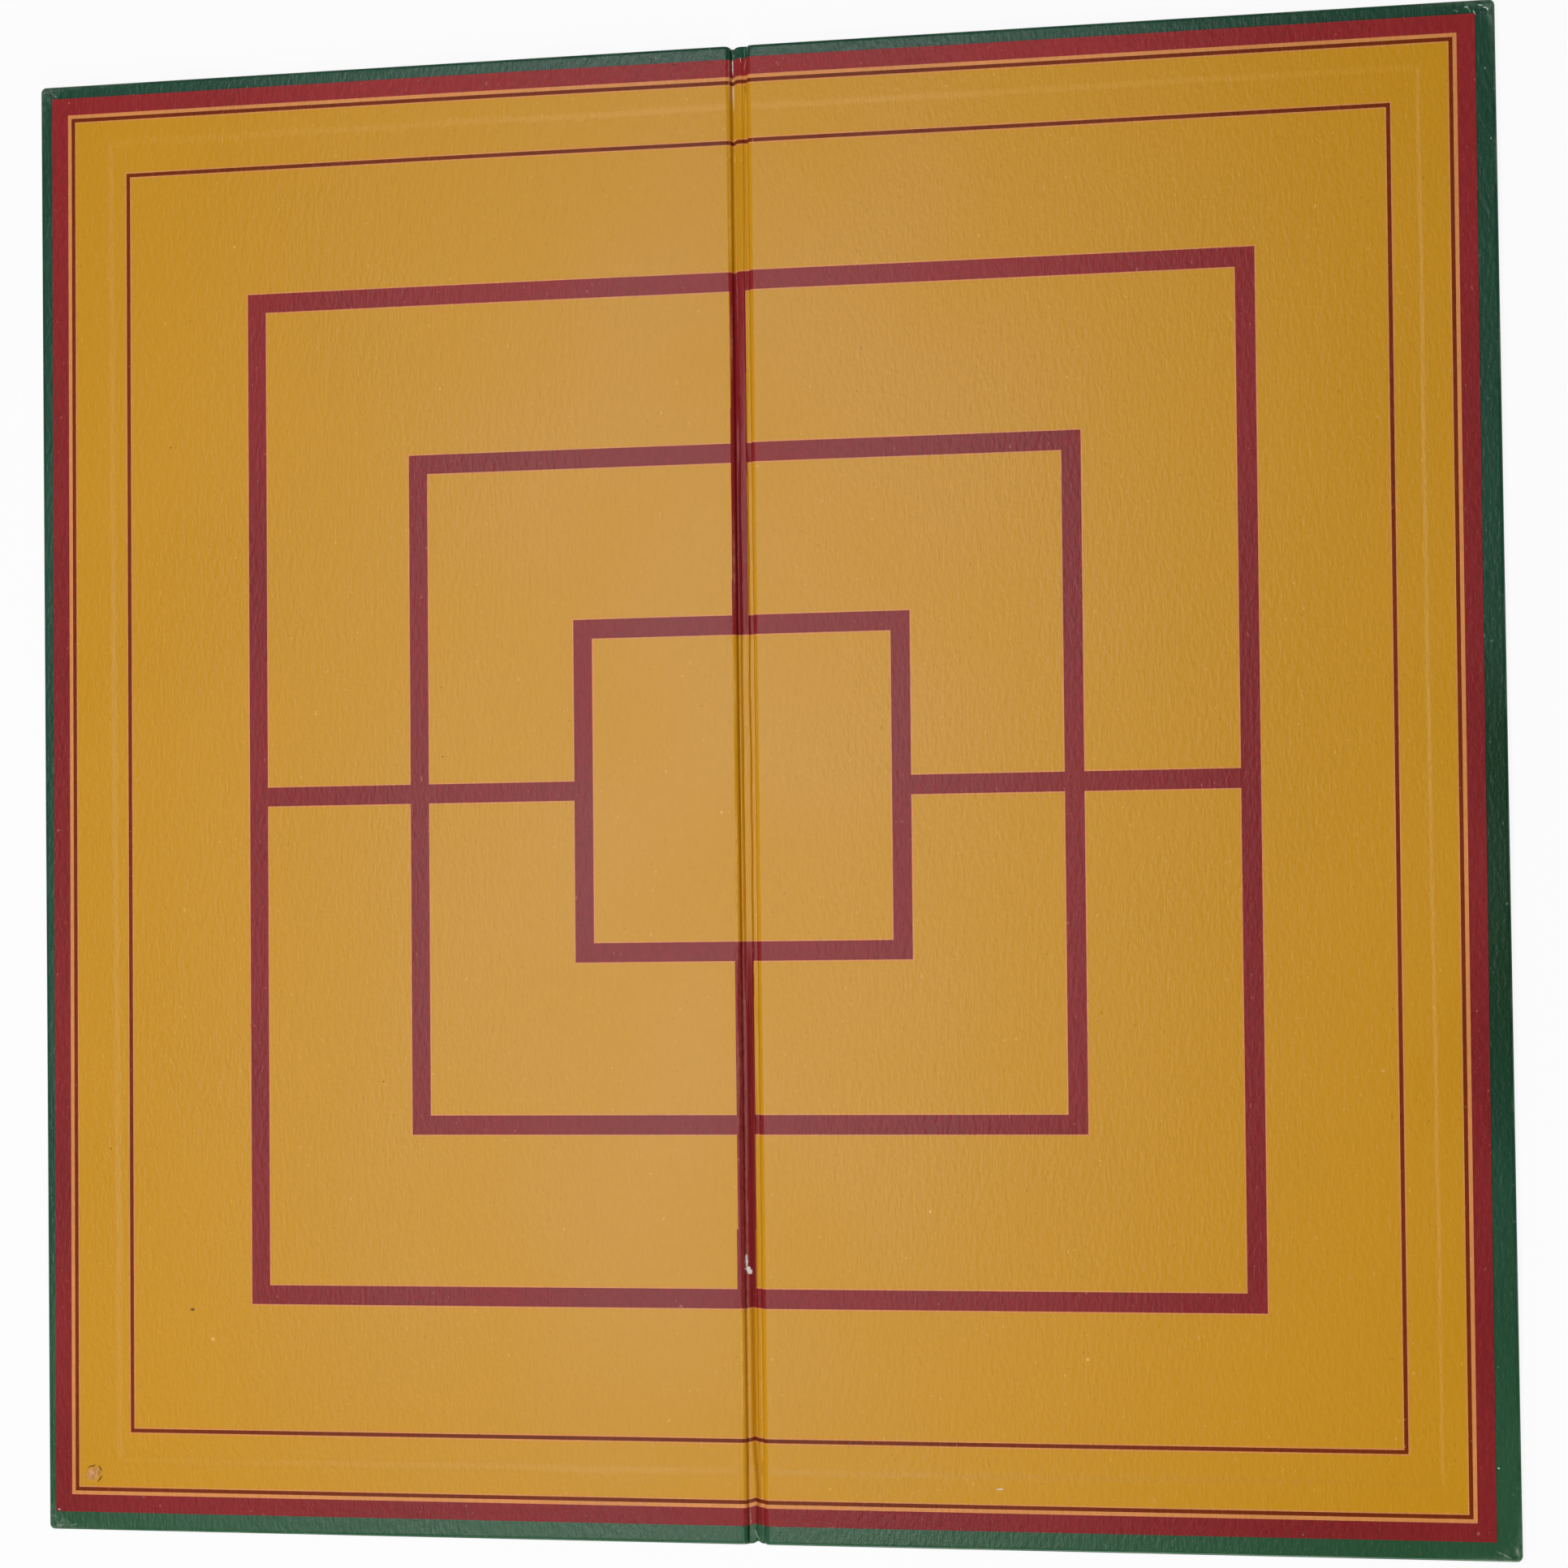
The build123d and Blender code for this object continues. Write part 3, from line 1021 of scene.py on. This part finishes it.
def cover_wear(x, y):
    """Bare paper at the corners and along the edges."""
    across, along = abs(x), abs(y)
    corner = hump(half_side - across, 1.2) * hump(half_side - along, 1.2)
    rim = max(hump(half_side - across, 0.35), hump(half_side - along, 0.35))
    rubbed = smooth(3 * noise.noise(Vector((x * 0.15, y * 0.15, 3.3))) - 0.3)
    return clamp(0.7 * corner + 0.45 * rim * rubbed)


# Pieces of the board


def bend(obj, side):
    """Bakes a piece's transform into its mesh."""
    if side < 0:
        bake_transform(obj)
    else:
        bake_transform(obj)


def build_leaf(leaf, side):
    """Every paper piece of one leaf."""
    prints = ("liner", "border_band", "light_line", "dark_line", "mill_lines")
    chequer = ("cover_panel", "dark_squares", "light_squares", "squares_frame")
    liner = build_liner("liner_" + leaf, side)
    panel = build_panel("cover_panel_" + leaf, side)
    for piece, nodes, slot in ((liner, prints, "liner_yellow"), (panel, chequer, "cover_green")):
        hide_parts(*[n + "_" + leaf for n in nodes], *[n + "_fold" for n in nodes])
        bend(piece, side)
    fore_edge = build_flap("fore_edge_turn_in_" + leaf, "fore_edge", side)
    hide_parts("fore_edge_turn_in_" + leaf)
    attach(fore_edge, leaf + "_leaf")
    for part in ("head", "tail"):
        flap = build_flap(part + "_turn_in_" + leaf, part, side)
        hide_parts(part + "_turn_in_" + leaf, part + "_turn_in_fold")
        bend(flap, side)


build_leaf("left", -1)
build_leaf("right", 1)
for node_name, node_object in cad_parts.items():
    if node_name.startswith("greyboard"):
        node_object.data.materials.clear()
        node_object.data.materials.append(board_grey)


# Stage


def add_floor():
    """A large floor just under the board."""
    size = 20.0
    gap = 0.0001
    mesh = bpy.data.meshes.new("floor")
    corners = [(-size, -size, 0), (size, -size, 0), (size, size, 0), (-size, size, 0)]
    mesh.from_pydata(corners, [], [(0, 1, 2, 3)])
    mesh.materials.append(floor_material())
    floor = bpy.data.objects.new("floor", mesh)
    floor.location.z = -gap
    bpy.context.scene.collection.objects.link(floor)


def add_lamp(name, place, size_x, size_y, power):
    """A soft white area lamp that faces the middle of the board."""
    data = bpy.data.lights.new(name, "AREA")
    data.shape = "RECTANGLE"
    data.size = size_x
    data.size_y = size_y
    data.energy = power
    lamp = bpy.data.objects.new(name, data)
    lamp.location = place
    lamp.rotation_mode = "QUATERNION"
    lamp.rotation_quaternion = (-Vector(place)).to_track_quat("-Z", "Y")
    bpy.context.scene.collection.objects.link(lamp)


def add_world():
    """Pale low down, dim overhead, and a white backdrop low down where it is seen or mirrored."""
    world = bpy.data.worlds.new("studio")
    bpy.context.scene.world = world
    world.use_nodes = True
    tree = world.node_tree
    tree.nodes.clear()
    direction = node(tree, "ShaderNodeTexCoord").outputs["Generated"]
    up = node(tree, "ShaderNodeSeparateXYZ", {0: direction}).outputs["Z"]
    level = ramp(tree, up, 0.0, 0.75, 0.55, 0.12)
    path = node(tree, "ShaderNodeLightPath")
    seen = calc(tree, "MAXIMUM", path.outputs["Is Camera Ray"], path.outputs["Is Glossy Ray"])
    seen = calc(tree, "MAXIMUM", seen, path.outputs["Is Transmission Ray"])
    backdrop = calc(tree, "MULTIPLY", seen, ramp(tree, up, 0.15, 0.3, 1.0, 0.0))
    level = calc(tree, "MAXIMUM", level, backdrop)
    background = node(tree, "ShaderNodeBackground", {"Color": (1, 1, 1, 1), "Strength": level})
    output = tree.nodes.new("ShaderNodeOutputWorld")
    tree.links.new(background.outputs[0], output.inputs[0])


def add_camera():
    """The camera stands where the photo was taken from."""
    place = Vector((0.20096, -0.02792, 0.85814))
    target = Vector((0.00847, 0.00125, 0.00205))
    roll = math.radians(-0.71)
    data = bpy.data.cameras.new("camera")
    data.sensor_fit = "HORIZONTAL"
    data.sensor_width = 36
    data.lens = 91.87
    data.clip_start = 0.01
    data.clip_end = 50
    camera = bpy.data.objects.new("camera", data)
    back = (place - target).normalized()
    right = Vector((0, 1, 0)).cross(back).normalized()
    level = Matrix((right, back.cross(right), back)).transposed()
    turn = level @ Matrix.Rotation(roll, 3, "Z")
    camera.matrix_world = Matrix.Translation(place) @ turn.to_4x4()
    bpy.context.scene.collection.objects.link(camera)
    bpy.context.scene.camera = camera


add_floor()
add_world()
# Two soft lamps light the board, and the strip overhead mirrors in its varnish as in the photo
add_lamp("tail_side", (0.02, -1.5, 0.7), 1.0, 1.0, 15.8)
add_lamp("head_side", (-1.3, 1.5, 0.7), 1.0, 1.0, 2.6)
add_lamp("overhead", (-0.222, 0.03, 0.86), 0.65, 0.3, 3.95)
add_camera()
bpy.context.scene.view_settings.view_transform = "Standard"
